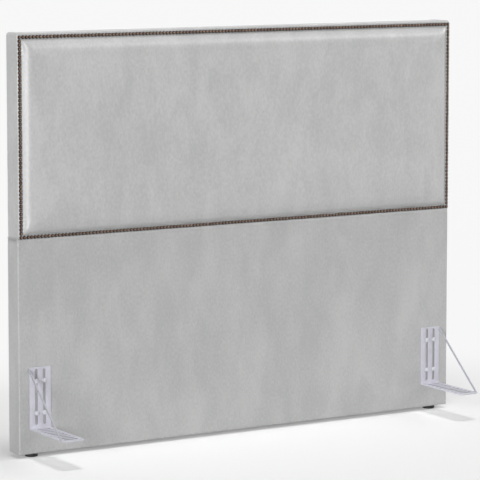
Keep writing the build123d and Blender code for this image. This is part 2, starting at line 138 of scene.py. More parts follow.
def lathe(profile, segments, matrix=None):
    """Points and faces of a profile of (radius, height) turned round local Z."""
    verts, faces, rings = [], [], []
    for radius, height in profile:
        if radius < 1e-7:
            rings.append([len(verts)])
            verts.append(Vector((0, 0, height)))
            continue
        rings.append(list(range(len(verts), len(verts) + segments)))
        for i in range(segments):
            turn = 2 * math.pi * i / segments
            verts.append(Vector((radius * math.cos(turn), radius * math.sin(turn), height)))
    for low, high in zip(rings, rings[1:]):
        for i in range(segments):
            j = (i + 1) % segments
            corners = [low[i % len(low)], low[j % len(low)], high[j % len(high)], high[i % len(high)]]
            face = list(dict.fromkeys(corners))
            if len(face) > 2:
                faces.append(face)
    if matrix is not None:
        verts = [matrix @ v for v in verts]
    return verts, faces


def tube(points, radius, sides=8):
    """Points and faces of a round wire along some points, with closed ends."""
    verts, faces = [], []
    for i, point in enumerate(points):
        before, after = points[max(i - 1, 0)], points[min(i + 1, len(points) - 1)]
        along = (after - before).normalized()
        side = along.cross(Vector((0.13, 0.29, 0.95))).normalized()
        up = along.cross(side)
        for k in range(sides):
            turn = 2 * math.pi * k / sides
            verts.append(point + radius * (math.cos(turn) * side + math.sin(turn) * up))
    for i in range(len(points) - 1):
        for k in range(sides):
            j = (k + 1) % sides
            a, b = i * sides, (i + 1) * sides
            faces.append([a + k, a + j, b + j, b + k])
    faces.append(list(range(sides)))
    faces.append(list(range(len(verts) - 1, len(verts) - 1 - sides, -1)))
    return verts, faces


def joined(parts):
    verts, faces = [], []
    for part_verts, part_faces in parts:
        start = len(verts)
        verts += part_verts
        faces += [[start + i for i in face] for face in part_faces]
    return verts, faces


def spread(low, high, step, fine=0.0, fine_step=0.0):
    """Numbers from low to high about a step apart, closer within fine of both ends."""
    if fine:
        edge = spread(low, low + fine, fine_step)[:-1]
        middle = spread(low + fine, high - fine, step)
        far = [low + high - x for x in reversed(edge)]
        return edge + middle + far
    count = max(1, round((high - low) / step))
    return [low + (high - low) * i / count for i in range(count + 1)]


def quarter_turns(count, first=0):
    """Angles from 0 to a right angle in count equal steps, from the step called first."""
    return [0.5 * math.pi * i / count for i in range(first, count + 1)]


def grid_faces(wide, tall, start=0):
    """Faces of a grid of points that lie row by row, wide in a row, from the point called start."""
    faces = []
    for row in range(tall - 1):
        for column in range(wide - 1):
            a = start + row * wide + column
            faces.append([a, a + 1, a + wide + 1, a + wide])
    return faces


def smoothstep(x, low, high):
    t = min(1.0, max(0.0, (x - low) / (high - low)))
    return t * t * (3 - 2 * t)


def displace(obj, amount):
    """Moves each point along its normal by amount(point, normal)."""
    mesh = obj.data
    mesh.update()
    places = [v.co.copy() for v in mesh.vertices]
    normals = [v.normal.copy() for v in mesh.vertices]
    for vert, place, normal in zip(mesh.vertices, places, normals):
        vert.co = place + normal * amount(place, normal)
    mesh.update()


def soft_noise(point, size, seed):
    """Smooth noise from about -1 to 1, with features of this size along each axis."""
    return noise.noise(Vector((point.x / size[0] + seed, point.y / size[1] - seed, point.z / size[2])))


# Materials

class Material:
    """A small helper round one node material with a Principled shader."""

    def __init__(self, name):
        self.made = bpy.data.materials.new(name)
        self.made.use_nodes = True
        self.tree = self.made.node_tree
        self.shader = self.tree.nodes["Principled BSDF"]
        self.coords = self.tree.nodes.new("ShaderNodeTexCoord").outputs["Object"]

    def link(self, source, target):
        self.tree.links.new(source, target)

    def put(self, **values):
        for key, value in values.items():
            self.shader.inputs[key.replace("_", " ")].default_value = value

    def scaled(self, scale, turn=(0, 0, 0)):
        node = self.tree.nodes.new("ShaderNodeMapping")
        node.inputs["Scale"].default_value = scale
        node.inputs["Rotation"].default_value = turn
        self.link(self.coords, node.inputs["Vector"])
        return node.outputs["Vector"]

    def noise(self, scale, detail=2.0, rough=0.5, distort=0.0):
        node = self.tree.nodes.new("ShaderNodeTexNoise")
        self.link(self.scaled(scale), node.inputs["Vector"])
        node.inputs["Scale"].default_value = 1.0
        node.inputs["Detail"].default_value = detail
        node.inputs["Roughness"].default_value = rough
        node.inputs["Distortion"].default_value = distort
        return node.outputs["Fac"]

    def cells(self, scale):
        node = self.tree.nodes.new("ShaderNodeTexVoronoi")
        self.link(self.scaled(scale), node.inputs["Vector"])
        node.inputs["Scale"].default_value = 1.0
        return node.outputs["Distance"]

    def bands(self, scale, distortion, detail, turn=(0, 0, 0)):
        node = self.tree.nodes.new("ShaderNodeTexWave")
        self.link(self.scaled(scale, turn), node.inputs["Vector"])
        node.inputs["Scale"].default_value = 1.0
        node.inputs["Distortion"].default_value = distortion
        node.inputs["Detail"].default_value = detail
        return node.outputs["Fac"]

    def remap(self, value, old, new):
        node = self.tree.nodes.new("ShaderNodeMapRange")
        self.link(value, node.inputs["Value"])
        for name, number in zip(("From Min", "From Max", "To Min", "To Max"), (*old, *new)):
            node.inputs[name].default_value = number
        return node.outputs["Result"]

    def math(self, kind, first, second):
        node = self.tree.nodes.new("ShaderNodeMath")
        node.operation = kind
        for slot, value in zip(node.inputs, (first, second)):
            if isinstance(value, (int, float)):
                slot.default_value = value
            else:
                self.link(value, slot)
        return node.outputs[0]

    def mix(self, factor, first, second):
        node = self.tree.nodes.new("ShaderNodeMix")
        node.data_type = "RGBA"
        self.link(factor, node.inputs["Factor"])
        for slot, value in zip((node.inputs[6], node.inputs[7]), (first, second)):
            if isinstance(value, tuple):
                slot.default_value = (*value, 1.0)
            else:
                self.link(value, slot)
        return node.outputs[2]

    def colour(self, socket):
        self.link(socket, self.shader.inputs["Base Color"])

    def rough(self, value, low, high):
        self.link(self.remap(value, (0.3, 0.7), (low, high)), self.shader.inputs["Roughness"])

    def bump(self, height, strength, distance):
        node = self.tree.nodes.new("ShaderNodeBump")
        node.inputs["Strength"].default_value = strength
        node.inputs["Distance"].default_value = distance
        self.link(height, node.inputs["Height"])
        current = self.shader.inputs["Normal"]
        if current.is_linked:
            self.link(current.links[0].from_socket, node.inputs["Normal"])
        self.link(node.outputs["Normal"], current)

    def axis(self, name):
        node = self.tree.nodes.new("ShaderNodeSeparateXYZ")
        self.link(self.coords, node.inputs[0])
        return node.outputs[name]


def grey(level, tint=(1.0, 1.0, 1.0)):
    """A linear colour from an sRGB grey level of 0 to 255."""
    value = ((level / 255 + 0.055) / 1.055) ** 2.4
    return tuple(value * t for t in tint)


def plush(name, level):
    """Brushed plush cloth: soft upright clouds, a mottled grain, a fine nap, and a sheen."""
    m = Material(name)
    clouds = m.noise((5.0, 5.0, 3.2), 2.0, 0.5, 0.4)
    patches = m.noise((17.0, 17.0, 7.0), 2.0, 0.5, 0.5)
    grain = m.noise((175.0, 175.0, 95.0), 2.0, 0.55)
    nap = m.noise((520.0, 520.0, 190.0), 3.0, 0.6)
    fibre = m.noise((2400.0, 2400.0, 900.0), 2.0, 0.5)
    shade = m.remap(clouds, (0.3, 0.7), (-0.48, 0.48))
    for pattern, reach in ((patches, 0.55), (grain, 0.72), (nap, 0.35), (fibre, 0.12)):
        shade = m.math("ADD", shade, m.remap(pattern, (0.3, 0.7), (-reach, reach)))
    contrast = 9
    base = m.mix(m.remap(shade, (-1.0, 1.0), (0.0, 1.0)),
                 grey(level - contrast, (0.995, 0.998, 1.0)), grey(level + contrast, (1.0, 1.0, 0.996)))
    m.colour(base)
    m.rough(nap, 0.33, 0.44)
    m.put(Specular_IOR_Level=1.0, Sheen_Weight=0.18, Sheen_Roughness=0.35)
    m.bump(grain, 0.10, 0.4 * MM)
    m.bump(nap, 0.22, 0.4 * MM)
    m.bump(fibre, 0.3, 0.15 * MM)
    return m.made


def bronze(name):
    """Dark antique bronze, with the domes' tops lighter: partly rubbed wear, partly a painted highlight."""
    m = Material(name)
    patches = m.noise((260.0, 260.0, 260.0), 3.0, 0.6)
    pits = m.noise((1500.0, 1500.0, 1500.0), 2.0, 0.5)
    dark = m.mix(patches, (0.009, 0.004, 0.002), (0.030, 0.015, 0.009))
    # The front tip of each dome is painted lighter: partly rubbed wear, partly a painted highlight.
    rub_and_highlight_starts, rub_and_highlight_full = 3.4 * MM, 3.95 * MM
    height = m.remap(m.axis("Y"), (BORDER_Y - rub_and_highlight_starts, BORDER_Y - rub_and_highlight_full), (0.0, 1.0))
    rubbed_and_highlit = m.math("MULTIPLY", height, m.remap(patches, (0.35, 0.65), (0.5, 1.0)))
    m.colour(m.mix(rubbed_and_highlit, dark, (0.39, 0.265, 0.20)))
    m.put(Metallic=0.85)
    m.rough(patches, 0.30, 0.46)
    m.bump(pits, 0.12, 0.1 * MM)
    return m.made


def powder_coat(name, colour, low=0.38, high=0.52):
    """Pale powder coating with a fine orange-peel skin."""
    m = Material(name)
    peel = m.noise((900.0, 900.0, 900.0), 2.0, 0.5)
    patches = m.noise((30.0, 30.0, 30.0), 3.0, 0.6)
    lighter = tuple(min(1.0, c * 1.06) for c in colour)
    darker = tuple(c * 0.94 for c in colour)
    m.colour(m.mix(m.remap(patches, (0.3, 0.7), (0.0, 1.0)), darker, lighter))
    m.rough(patches, low, high)
    m.bump(peel, 0.18, 0.12 * MM)
    return m.made


def plated_steel(name, colour, rough=(0.28, 0.42)):
    m = Material(name)
    brushed = m.noise((300.0, 300.0, 300.0), 3.0, 0.6)
    stains = m.noise((60.0, 60.0, 60.0), 2.0, 0.5)
    m.colour(m.mix(m.remap(stains, (0.3, 0.7), (0.0, 1.0)), tuple(c * 0.86 for c in colour), colour))
    m.put(Metallic=0.8)
    m.rough(brushed, *rough)
    m.bump(brushed, 0.1, 0.1 * MM)
    return m.made


def moulded_plastic(name, colour):
    m = Material(name)
    grain = m.noise((1600.0, 1600.0, 1600.0), 2.0, 0.5)
    dust = m.noise((90.0, 90.0, 90.0), 3.0, 0.6)
    m.colour(m.mix(m.remap(dust, (0.45, 0.8), (0.0, 1.0)), colour, tuple(c + 0.02 for c in colour)))
    m.rough(dust, 0.42, 0.6)
    m.bump(grain, 0.2, 0.15 * MM)
    return m.made


def timber(name, light, dark, along, ring=70.0):
    """Sawn wood whose grain runs along one axis."""
    m = Material(name)
    stretch = {"X": (3.0, ring, ring), "Z": (ring, ring, 3.0)}[along]
    rings = m.bands(tuple(s * 0.45 for s in stretch), 5.0, 3.0, (0.1, 0.2, 0.3))
    fibres = m.noise(tuple(s * 14 for s in stretch), 3.0, 0.6)
    wood = m.mix(m.math("MULTIPLY", rings, 0.7), light, dark)
    wood = m.mix(m.remap(fibres, (0.35, 0.75), (0.0, 0.35)), wood, dark)
    m.colour(wood)
    m.rough(fibres, 0.6, 0.8)
    m.bump(fibres, 0.25, 0.3 * MM)
    return m.made


def fibreboard(name, light, dark):
    m = Material(name)
    flecks = m.noise((500.0, 500.0, 500.0), 4.0, 0.7)
    clouds = m.noise((14.0, 14.0, 14.0), 3.0, 0.5)
    base = m.mix(m.remap(flecks, (0.35, 0.65), (0.0, 1.0)), light, dark)
    m.colour(m.mix(m.remap(clouds, (0.3, 0.7), (0.0, 0.3)), base, dark))
    m.rough(flecks, 0.6, 0.8)
    m.bump(flecks, 0.2, 0.2 * MM)
    return m.made


def spunbond(name, light, dark):
    """Non-woven dust cloth with tiny pressed dots and faint cloudy fibres."""
    m = Material(name)
    dots = m.cells((520.0, 520.0, 520.0))
    fibres = m.noise((240.0, 240.0, 240.0), 4.0, 0.7)
    clouds = m.noise((11.0, 11.0, 11.0), 3.0, 0.5)
    shade = m.math("ADD", m.remap(fibres, (0.3, 0.7), (0.0, 0.6)), m.remap(clouds, (0.3, 0.7), (0.0, 0.4)))
    m.colour(m.mix(shade, dark, light))
    m.rough(fibres, 0.75, 0.92)
    m.bump(dots, 0.3, 0.15 * MM)
    m.bump(fibres, 0.2, 0.2 * MM)
    return m.made


FABRIC_UPPER = plush("plush_panel", 177)
FABRIC_LOWER = plush("plush_lower", 171)
BRONZE = bronze("antique_bronze")
COATED = powder_coat("bracket_coating", (0.53, 0.525, 0.585))
# The struts and their welds get a darker copy of the bracket's coat: painted shade, for the struts' shaded
# sides.
STRUT_PAINTED_SHADE = powder_coat("strut_coating_painted_shade", (0.42, 0.42, 0.465))
# A dark grey for the slots' inner walls: painted shade, since those walls lie in shade.
SLOT_WALL_SHADE = powder_coat("slot_wall_painted_shade", (0.22, 0.22, 0.25))
BOLT_COAT = powder_coat("bolt_coating", (0.62, 0.62, 0.66), 0.34, 0.46)
STEEL = plated_steel("hidden_zinc", (0.56, 0.56, 0.58))
STAPLE = plated_steel("staple_wire", (0.62, 0.62, 0.62), (0.25, 0.35))
BLACK = moulded_plastic("glide_plastic", (0.008, 0.008, 0.009))
PINE_X = timber("pine_rail", (0.58, 0.40, 0.22), (0.42, 0.25, 0.12), "X")
PINE_Z = timber("pine_upright", (0.58, 0.40, 0.22), (0.42, 0.25, 0.12), "Z")
BEECH = timber("beech_block", (0.52, 0.33, 0.19), (0.40, 0.23, 0.12), "Z", 110.0)
BOARD = fibreboard("board_face", (0.36, 0.24, 0.14), (0.22, 0.14, 0.08))
DUST = spunbond("dust_cloth_face", (0.085, 0.085, 0.088), (0.035, 0.035, 0.037))

INNER_MATERIALS = (
    (("rail_",), PINE_X),
    (("stile_", "upright_"), PINE_Z),
    (("bracket_block",), BEECH),
    (("front_board",), BOARD),
    (("frame_screws", "tee_nuts", "foot_studs"), STEEL),
)
for name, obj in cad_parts.items():
    for beginnings, material in INNER_MATERIALS:
        if name.startswith(beginnings):
            obj.data.materials.clear()
            obj.data.materials.append(material)


# Fabric shells of the two sections

CORNER_STEPS = 6
EDGE_STEPS = 5
BACK_STEPS = 4
BACK_ROUND = 3.0 * MM
BACK_GRID = 6.0 * MM
FINE_ZONE = 42.0 * MM
FINE_GRID = 3.5 * MM
SIDE_GRID = 7.0 * MM
SEAM_ROOM = 0.3 * MM
SEAM_FRONT = 10.0 * MM
PLEAT_WIDTH = 17.0 * MM
PLEAT_HEIGHT = 1.1 * MM
PLEAT_LEAN = 0.22
PLEAT_SOFT_EDGE = (-2.5 * MM, 1.5 * MM)


def outline_ring(half, low, high, insets, y, radii, xs, zs):
    """One closed loop of a section: insets are (sides, bottom, top), radii (bottom, top)."""
    side, bottom, top = insets
    x, z0, z1 = half - side, low + bottom, high - top
    loop = []
    corners = (
        (-1, z0, radii[0] - (side + bottom) / 2, math.pi),
        (1, z0, radii[0] - (side + bottom) / 2, 1.5 * math.pi),
        (1, z1, radii[1] - (side + top) / 2, 0.0),
        (-1, z1, radii[1] - (side + top) / 2, 0.5 * math.pi),
    )
    runs = (
        [(px, None) for px in xs],
        [(None, pz) for pz in zs],
        [(px, None) for px in reversed(xs)],
        [(None, pz) for pz in reversed(zs)],
    )
    for (sign, z, radius, start), run in zip(corners, runs):
        radius = max(0.0, radius)
        centre_x = sign * (x - radius)
        centre_z = z + (radius if z == z0 else -radius)
        for turn in quarter_turns(CORNER_STEPS):
            across = radius * math.cos(start + turn)
            up = radius * math.sin(start + turn)
            loop.append(Vector((centre_x + across, y, centre_z + up)))
        edge_x = sign * x
        for px, pz in run:
            loop.append(Vector((px if px is not None else edge_x, y, pz if pz is not None else z)))
    return loop


def section_shell(name, half, low, high, front_y, radii, edges, inner, front_grid, close_front):
    """A cloth-covered section: front ring or whole front, rounded edges, sides and turned-in back.
    edges are the front edge radii (sides, bottom, top) and inner the insets of the innermost ring."""
    xs = spread(-half + inner[0], half - inner[0], front_grid, FINE_ZONE, FINE_GRID)
    zs = spread(low + inner[1], high - inner[2], front_grid, FINE_ZONE, FINE_GRID)
    rings = [(inner, front_y)]
    if close_front:
        rings.append((tuple((i + e) / 2 for i, e in zip(inner, edges)), front_y))
    for turn in quarter_turns(EDGE_STEPS):
        insets = tuple(e * (1 - math.sin(turn)) for e in edges)
        rings.append((insets, front_y + edges[0] * (1 - math.cos(turn))))
    for y in spread(front_y + edges[0], BACK_Y - BACK_ROUND, SIDE_GRID)[1:]:
        rings.append(((0.0, 0.0, 0.0), y))
    for turn in quarter_turns(BACK_STEPS, 1):
        inset = BACK_ROUND * (1 - math.cos(turn))
        rings.append(((inset,) * 3, BACK_Y - BACK_ROUND * (1 - math.sin(turn))))
    for inset in spread(BACK_ROUND, TURN_IN, BACK_GRID)[1:]:
        rings.append(((inset,) * 3, BACK_Y))
    loops = [outline_ring(half, low, high, insets, y, radii, xs, zs) for insets, y in rings]
    count = len(loops[0])
    verts = [point for loop in loops for point in loop]
    faces = []
    for r in range(len(loops) - 1):
        for i in range(count):
            j = (i + 1) % count
            a, b = r * count, (r + 1) * count
            faces.append([a + i, a + j, b + j, b + i])
    if close_front:
        faces += grid_faces(len(xs), len(zs), len(verts))
        verts += [Vector((x, front_y, z)) for z in zs for x in xs]
    shell = new_object(name, verts, faces)
    clean_up(shell)
    return shell


def drop_faces(obj, wanted):
    """Takes out the faces whose centre is wanted."""
    bm = bmesh.new()
    bm.from_mesh(obj.data)
    doomed = [f for f in bm.faces if wanted(f.calc_center_median())]
    bmesh.ops.delete(bm, geom=doomed, context="FACES")
    bm.to_mesh(obj.data)
    bm.free()


def open_at_seam(shell, half, front_y, away):
    """Takes out the faces inside the seam and the turned-in ones next to it on the back.
    away is 1 for the section above the seam and -1 for the one below."""
    back_edge = BACK_Y - BACK_ROUND - 0.2 * MM
    drop_faces(shell, lambda c: away * (c.z - SEAM) < SEAM_ROOM and c.y > front_y + SEAM_FRONT)
    drop_faces(shell, lambda c: (c.y > back_edge and away * (c.z - SEAM) < TURN_IN
                                 and abs(c.x) < half - TURN_IN))


def thicken(obj, thickness):
    solid = obj.modifiers.new("thickness", "SOLIDIFY")
    solid.thickness = thickness
    solid.offset = -1.0
    solid.use_even_offset = False
    bake_modifiers(obj)


def pleat(point, side):
    """A soft step where the fold of one top corner lies on the top of the section."""
    across = side * (side * UPPER_HALF - point.x)
    edge = PLEAT_WIDTH + PLEAT_LEAN * (point.y - BORDER_Y)
    return PLEAT_HEIGHT * (1 - smoothstep(across, edge + PLEAT_SOFT_EDGE[0], edge + PLEAT_SOFT_EDGE[1]))


def seam_tuck(depth, distance, reach, normal):
    """How far a section's sides draw in at this distance from the seam."""
    on_side = smoothstep(abs(normal.x), 0.5, 0.9)
    return depth * (1 - smoothstep(distance, 0.0, reach)) * on_side


def border_relief(point, normal):
    """Slack and pull of the border cloth, with a fold at each top corner and a tuck at the seam."""
    slack, ripple, top_band, top_sink, front_band = 0.35 * MM, 0.12 * MM, 3.0 * MM, 1.2 * MM, 0.5 * MM
    lift = slack * soft_noise(point, (0.11, 0.05, 0.09), 3.1)
    lift += ripple * soft_noise(point, (0.021, 0.021, 0.021), 8.4)
    if normal.z > 0.7 and point.z > BODY_TOP - top_band:
        lift += pleat(point, -1) + pleat(point, 1) - top_sink
    if point.y < BORDER_Y + front_band:
        lift *= 0.4
    return lift - seam_tuck(1.0 * MM, point.z - SEAM, 4.0 * MM, normal)


def lower_relief(point, normal):
    """A little fullness in the plain lower cloth, less near its edges, and a tuck at the seam."""
    slack, ripple, fullness = 0.5 * MM, 0.15 * MM, 0.25 * MM
    lift = slack * soft_noise(point, (0.24, 0.08, 0.33), 5.7)
    lift += ripple * soft_noise(point, (0.045, 0.045, 0.09), 1.3)
    edge = min(LOWER_HALF - abs(point.x), point.z - BODY_FOOT)
    if normal.y < -0.9:
        lift *= 0.3 + 0.7 * smoothstep(edge, 0.0, 60 * MM)
        lift += fullness * smoothstep(edge, 10 * MM, 90 * MM)
    return lift - seam_tuck(1.2 * MM, SEAM - point.z, 5.0 * MM, normal)


def make_border():
    seam_corner = 1.5 * MM
    border = section_shell(
        "border_fabric", UPPER_HALF, SEAM, BODY_TOP, BORDER_Y, (seam_corner, TOP_CORNER),
        (EDGE_RADIUS, EDGE_RADIUS, EDGE_RADIUS),
        (UPPER_HALF - WINDOW_HALF, WINDOW_LOW - SEAM, BODY_TOP - WINDOW_HIGH),
        front_grid=12 * MM, close_front=False)
    open_at_seam(border, UPPER_HALF, BORDER_Y, 1)
    displace(border, border_relief)
    thicken(border, CLOTH)
    finish_piece(border, FABRIC_UPPER, MAIN_BODY, ["border_cover", "upper_side_wadding"])


def make_lower():
    seam_corner, seam_edge, inner = 1.0 * MM, 1.5 * MM, 24.0 * MM
    lower = section_shell(
        "lower_fabric", LOWER_HALF, BODY_FOOT, SEAM, FRONT_Y, (EDGE_RADIUS, seam_corner),
        (EDGE_RADIUS, EDGE_RADIUS, seam_edge), (inner, inner, inner),
        front_grid=13 * MM, close_front=True)
    open_at_seam(lower, LOWER_HALF, FRONT_Y, -1)
    displace(lower, lower_relief)
    thicken(lower, CLOTH)
    finish_piece(lower, FABRIC_LOWER, MAIN_BODY, ["lower_cover", "lower_wadding"])


make_border()
make_lower()


# Raised cushion inside the nails

# Distances inside the nails, each with the slope of the front there
CUSHION_SLOPES = ((0.0, 1.25), (8 * MM, 0.98), (18 * MM, 0.46), (29 * MM, 0.19), (46 * MM, 0.0))
CROWN = 1.0 * MM
CROWN_REACH = 300.0 * MM
CORNER_BLEND = 1.6 * MM
CUSHION_SEAT = 0.6 * MM
CUSHION_RIM = 0.5 * MM
CUSHION_GRID = 16.0 * MM
CUSHION_FINE_GRID = 5.6 * MM
CUSHION_FINE_ZONE = 56.0 * MM
PULL_DEPTH = 0.7 * MM
PULL_REACH = 6.0 * MM
CREASE_DEPTH = 0.5 * MM
CREASE_REACH = 70.0 * MM


def cushion_height(inside):
    """How far the cushion stands out at a distance inside the nails: steep there, then ever flatter."""
    rise = 0.0
    for (start, first), (end, last) in zip(CUSHION_SLOPES, CUSHION_SLOPES[1:]):
        run = min(max(inside - start, 0.0), end - start)
        rise += run * (first + 0.5 * (last - first) * run / (end - start))
    return rise + CROWN * (1 - (1 - min(inside / CROWN_REACH, 1.0)) ** 2)


def soft_minimum(first, second):
    """The lower of two heights, with a soft change from one to the other."""
    share = max(0.0, min(1.0, 0.5 + 0.5 * (second - first) / CORNER_BLEND))
    return second + (first - second) * share - CORNER_BLEND * share * (1 - share)


def distances_inside(x, z):
    """How far a place lies inside the window's sides, and inside its top or bottom."""
    return WINDOW_HALF - abs(x), min(z - WINDOW_LOW, WINDOW_HIGH - z)


def cushion_mesh():
    """The crowned front on a grid, with a narrow rim behind it. Its outermost points are held."""
    xs = spread(-WINDOW_HALF, WINDOW_HALF, CUSHION_GRID, CUSHION_FINE_ZONE, CUSHION_FINE_GRID)
    zs = spread(WINDOW_LOW, WINDOW_HIGH, CUSHION_GRID, CUSHION_FINE_ZONE, CUSHION_FINE_GRID)
    base_y = cushion_high.y - CUSHION_SEAT
    verts, held = [], []
    for z in zs:
        for x in xs:
            near_x, near_z = distances_inside(x, z)
            rise = soft_minimum(cushion_height(near_x), cushion_height(near_z))
            if min(near_x, near_z) < SMALL_JOIN:
                held.append(len(verts))
                rise = 0.0
            verts.append(Vector((x, base_y - max(rise, 0.0), z)))
    wide, tall = len(xs), len(zs)
    faces = grid_faces(wide, tall)
    rim = list(range(wide))
    rim += [row * wide + wide - 1 for row in range(1, tall)]
    rim += [(tall - 1) * wide + column for column in range(wide - 2, -1, -1)]
    rim += [row * wide for row in range(tall - 2, 0, -1)]
    start = len(verts)
    for index in rim:
        verts.append(verts[index] + Vector((0, CUSHION_RIM, 0)))
        held.append(len(verts) - 1)
    for i in range(len(rim)):
        j = (i + 1) % len(rim)
        faces.append([rim[j], rim[i], start + i, start + j])
    obj = new_object("cushion_panel", verts, faces)
    group = obj.vertex_groups.new(name="held")
    group.add(held, 1.0, "REPLACE")
    clean_up(obj, SMALL_JOIN)
    return obj


def inflate(obj, pressure, frames, limit):
    """Blows the piece up a little as cloth, with no point moving beyond the limit."""
    cloth = obj.modifiers.new("cloth", "CLOTH")
    settings = cloth.settings
    settings.quality = 6
    settings.mass = 0.4
    settings.tension_stiffness = 60
    settings.compression_stiffness = 60
    settings.shear_stiffness = 30
    settings.bending_stiffness = 3
    settings.use_pressure = True
    settings.uniform_pressure_force = pressure
    settings.vertex_group_mass = "held"
    settings.effector_weights.gravity = 0.0
    cloth.collision_settings.use_collision = False
    cloth.point_cache.frame_start = 1
    cloth.point_cache.frame_end = frames
    for step in range(1, frames + 1):
        scene.frame_set(step)
    graph = bpy.context.evaluated_depsgraph_get()
    moved = [v.co.copy() for v in obj.evaluated_get(graph).data.vertices]
    obj.modifiers.clear()
    scene.frame_set(1)
    for vert, place in zip(obj.data.vertices, moved):
        shift = place - vert.co
        if shift.length > 0:
            vert.co += shift * (limit * math.tanh(shift.length / limit) / shift.length)
    obj.data.update()


def close_back(obj):
    """Fills the flat back with one face."""
    bm = bmesh.new()
    bm.from_mesh(obj.data)
    rim = [e for e in bm.edges if e.is_boundary]
    bmesh.ops.contextual_create(bm, geom=rim)
    bmesh.ops.recalc_face_normals(bm, faces=bm.faces)
    bm.to_mesh(obj.data)
    bm.free()


def nail_pull(along, pitch):
    """From 0 between two nails to 1 at a nail, at a distance along one row from its first nail."""
    return 0.5 + 0.5 * math.cos(2 * math.pi * along / pitch)


def cushion_relief(point, normal):
    """Pull of the nails at the edge, slight fullness, and creases out of the corners."""
    near_x, near_z = distances_inside(point.x, point.z)
    near, far = min(near_x, near_z), max(near_x, near_z)
    if near < 0.2 * MM or normal.y > 0.5:
        return 0.0
    slack, ripple = 0.7 * MM, 0.12 * MM
    lift = slack * soft_noise(point, (0.20, 0.2, 0.26), 2.2)
    lift += ripple * soft_noise(point, (0.04, 0.04, 0.08), 6.1)
    lift *= smoothstep(near, 5 * MM, 60 * MM)
    if near_z < near_x:
        pull = nail_pull(point.x + NAIL_HALF, ROW_PITCH)
    else:
        pull = nail_pull(point.z - NAIL_BOTTOM, COLUMN_PITCH)
    lift -= PULL_DEPTH * pull * math.exp(-near / PULL_REACH)
    if far < CREASE_REACH:
        diagonal = (near_x - near_z) / max(near_x + near_z, 1 * MM)
        crease = math.cos(diagonal * 9.0) * (1 - smoothstep(far, 10 * MM, CREASE_REACH))
        lift -= CREASE_DEPTH * crease * smoothstep(far, 3 * MM, 12 * MM)
    return lift


def make_cushion():
    cushion = cushion_mesh()
    inflate(cushion, pressure=1.2, frames=20, limit=0.9 * MM)
    finer = cushion.modifiers.new("finer", "SUBSURF")
    finer.levels = finer.render_levels = 2
    bake_modifiers(cushion)
    displace(cushion, cushion_relief)
    close_back(cushion)
    finish_piece(cushion, FABRIC_UPPER, MAIN_BODY, ["panel_cover", "panel_foam"])


make_cushion()


# Domed nails

NAIL_HEIGHT = 4.1 * MM
NAIL_SINK = 0.3 * MM
NAIL_SIDES = 24
DOME_STEPS = 8
DOME_RADIUS_SHARE = 0.95
DOME_FOOT_SHARE = 0.12
# Radius and height of the thin brim, as shares of the nail's own
BRIM_SHARES = ((0.965, 0.14), (0.995, 0.08), (0.985, 0.0))
HEIGHT_SCATTER = 0.15 * MM
PLACE_SCATTER = 0.12 * MM
TILT_SCATTER = 0.02


def nail_profile(height):
    """Radius and height from the sunk back outward, over the brim and up the dome."""
    points = [(0.0, height)]
    for turn in quarter_turns(DOME_STEPS, 1)[:-1]:
        radius = NAIL_RADIUS * DOME_RADIUS_SHARE * math.sin(turn) ** 0.93
        height_share = DOME_FOOT_SHARE + (1 - DOME_FOOT_SHARE) * math.cos(turn) ** 1.15
        points.append((radius, height * height_share))
    points += [(NAIL_RADIUS * across, height * up) for across, up in BRIM_SHARES]
    points += [(NAIL_RADIUS * 0.9, -NAIL_SINK), (0.0, -NAIL_SINK)]
    return points[::-1]


def nail_form(chance, place):
    """One domed head, with its own small tilt, turn, height and place."""
    height = NAIL_HEIGHT + chance.uniform(-HEIGHT_SCATTER, HEIGHT_SCATTER)
    tilt = Euler((chance.gauss(0, TILT_SCATTER), chance.gauss(0, TILT_SCATTER), chance.uniform(0, math.tau)))
    to_front = Matrix.Rotation(math.radians(90), 4, "X")
    moved = Vector((chance.gauss(0, PLACE_SCATTER), 0, chance.gauss(0, PLACE_SCATTER)))
    seat = Matrix.Translation(place + moved)
    return lathe(nail_profile(height), NAIL_SIDES, seat @ to_front @ tilt.to_matrix().to_4x4())


def nail_row(name, places, seed):
    chance = random.Random(seed)
    obj = new_object(name, *joined([nail_form(chance, Vector((x, BORDER_Y, z))) for x, z in places]))
    clean_up(obj, 0.5 * SMALL_JOIN)
    smooth_by_angle(obj, 50)
    finish_piece(obj, BRONZE, MAIN_BODY, [name.replace("nail_row", "nails")])


row_xs = [-NAIL_HALF + i * ROW_PITCH for i in range(ROW_GAPS + 1)]
column_zs = [NAIL_BOTTOM + i * COLUMN_PITCH for i in range(1, COLUMN_GAPS)]
nail_row("nail_row_top", [(x, NAIL_TOP) for x in row_xs], 11)
nail_row("nail_row_bottom", [(x, NAIL_BOTTOM) for x in row_xs], 12)
nail_row("nail_row_left", [(-NAIL_HALF, z) for z in column_zs], 13)
nail_row("nail_row_right", [(NAIL_HALF, z) for z in column_zs], 14)


# Brackets, struts, bolts, washers and glides

SHEET_EDGE = 0.35 * MM
STRUT_EDGE = 0.4 * MM
WELD_RADIUS = 1.5 * MM
WELD_DROPS = 7
# Half the width of the slots' field, and how far it stays from the ends of the leg and the plate
SLOT_FIELD_HALF = 25.0 * MM
LEG_ENDS = (14.0 * MM, 12.0 * MM)
PLATE_ENDS = (22.0 * MM, 5.0 * MM)
BOLT_HALF_FLATS = 5.0 * MM
BOLT_HEAD = 4.0 * MM
BOLT_SHANK_RADIUS = 2.95 * MM
BOLT_TIP = 1.0 * MM
HEAD_SIDES = 24
# Share of the hexagon, share of the head's height, and how much of the corners' reach is cut down
HEAD_SHARES = ((0.985, 0.0, 0.0), (1.0, 0.12, 0.0), (1.0, 0.80, 0.42))
